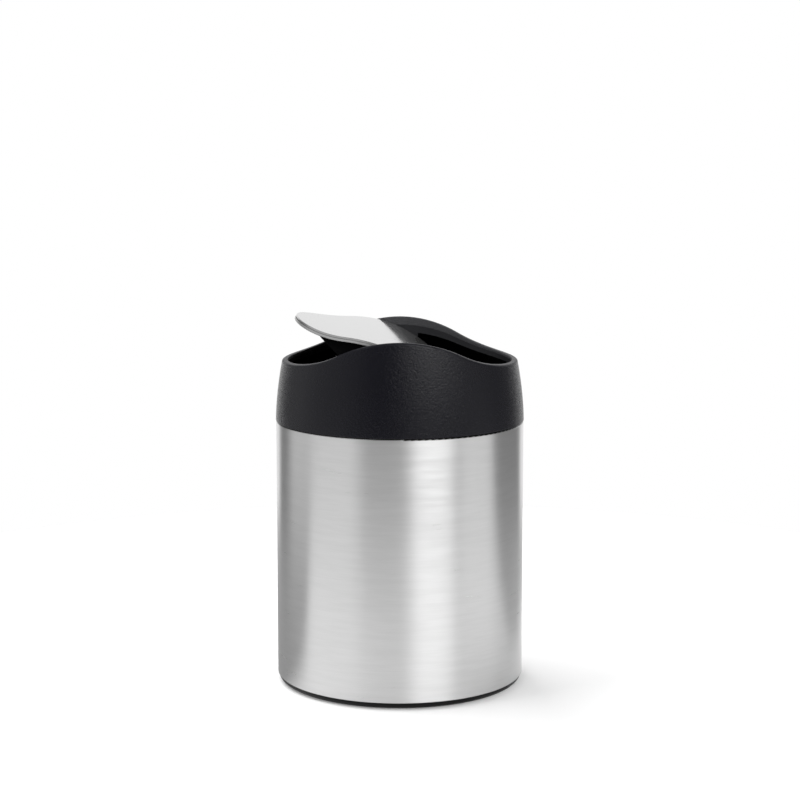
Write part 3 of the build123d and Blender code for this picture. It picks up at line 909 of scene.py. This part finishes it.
def light_world(settings):
    """Studio walls with soft boxes, white where the camera itself looks."""
    world = bpy.data.worlds.new("studio")
    bpy.context.scene.world = world
    world.use_nodes = True
    nodes = Nodes(world.node_tree)
    direction = nodes.add("ShaderNodeTexCoord", output="Generated")
    x, y, z = nodes.parts(direction)
    angle = nodes.maths("ARCTAN2", x, -y)
    level = nodes.step(z, 0.45, 0.8) * settings.overhead_level + settings.studio_level
    rise = nodes.step(z, 0.0, 0.4)
    top = 1 - nodes.step(z, 0.5, 0.85)
    for middle, half, soft, strength, low_share in SOFT_BOXES:
        turned = nodes.maths("WRAP", angle - math.radians(middle), math.pi, -math.pi)
        inner, outer = math.radians(half - soft / 2), math.radians(half + soft)
        width = 1 - nodes.step(nodes.maths("ABSOLUTE", turned), max(inner, 0), outer)
        level = level + width * top * (rise * (1 - low_share) + low_share) * strength
    path = nodes.add("ShaderNodeLightPath").socket.node
    seen = Wire(nodes, path.outputs["Is Camera Ray"])
    strength = level * (1 - seen) + seen
    background = nodes.add("ShaderNodeBackground", None, {"Color": full_colour(WHITE), "Strength": strength})
    nodes.add("ShaderNodeOutputWorld", None, {"Surface": background})


def aim(thing, target):
    """Turns a lamp towards a point."""
    thing.rotation_euler = (Vector(target) - thing.location).to_track_quat("-Z", "Y").to_euler()


def make_key_lamp(settings):
    """Large soft lamp high on the left, which throws the short shadow to the right."""
    lamp = bpy.data.lights.new("key", "AREA")
    lamp.shape = "RECTANGLE"
    lamp.size = settings.key_depth
    lamp.size_y = settings.key_breadth
    lamp.energy = settings.key_power
    key = bpy.data.objects.new("key", lamp)
    bpy.context.scene.collection.objects.link(key)
    key.location = settings.key_place
    aim(key, (0, 0, 0.1))
    key.visible_camera = False
    key.visible_glossy = False


def make_camera(settings):
    """Camera in front of the bin, looking slightly down."""
    lens = bpy.data.cameras.new("camera")
    lens.lens = settings.lens
    lens.sensor_width = 36
    lens.shift_y = -settings.shift
    camera = bpy.data.objects.new("camera", lens)
    bpy.context.scene.collection.objects.link(camera)
    place = Matrix.Translation((0, -settings.camera_distance, settings.camera_height))
    yaw = Matrix.Rotation(settings.camera_yaw, 4, "Z")
    pitch = Matrix.Rotation(math.pi / 2 - settings.camera_pitch, 4, "X")
    roll = Matrix.Rotation(settings.camera_roll, 4, "Z")
    camera.matrix_world = place @ yaw @ pitch @ roll
    bpy.context.scene.camera = camera


# ---- Panel and registration -----------------------------------------------------------------

STEPS = (
    BIN_OT_finish_can,
    BIN_OT_finish_base,
    BIN_OT_finish_bucket,
    BIN_OT_finish_lid,
    BIN_OT_finish_flap,
    BIN_OT_finish_pivots,
    BIN_OT_make_screws,
    BIN_OT_build_studio,
)
SETTINGS = {
    "bin_metal": BinMetalSettings,
    "bin_plastic": BinPlasticSettings,
    "bin_screws": BinScrewSettings,
    "bin_studio": BinStudioSettings,
}


class BIN_PT_sidebar(bpy.types.Panel):
    """Settings and steps of the bin"""

    bl_idname = "BIN_PT_sidebar"
    bl_label = "Countertop Bin"
    bl_space_type = "VIEW_3D"
    bl_region_type = "UI"
    bl_category = "Bin"

    def draw(self, context):
        for name, group in SETTINGS.items():
            box = self.layout.box()
            for prop in group.__annotations__:
                box.prop(getattr(context.scene, name), prop)
        for step in STEPS:
            self.layout.operator(step.bl_idname)


def register():
    """Adds the settings, the operators and the panel."""
    for name, group in SETTINGS.items():
        bpy.utils.register_class(group)
        setattr(bpy.types.Scene, name, PointerProperty(type=group))
    for step in (*STEPS, BIN_PT_sidebar):
        bpy.utils.register_class(step)


def unregister():
    """Takes the panel, the operators and the settings away again."""
    for step in (BIN_PT_sidebar, *reversed(STEPS)):
        bpy.utils.unregister_class(step)
    for name, group in SETTINGS.items():
        delattr(bpy.types.Scene, name)
        bpy.utils.unregister_class(group)


def main():
    """Builds the looks step by step."""
    register()
    for step in STEPS:
        group, name = step.bl_idname.split(".")
        getattr(getattr(bpy.ops, group), name)()


if __name__ == "__main__":
    main()
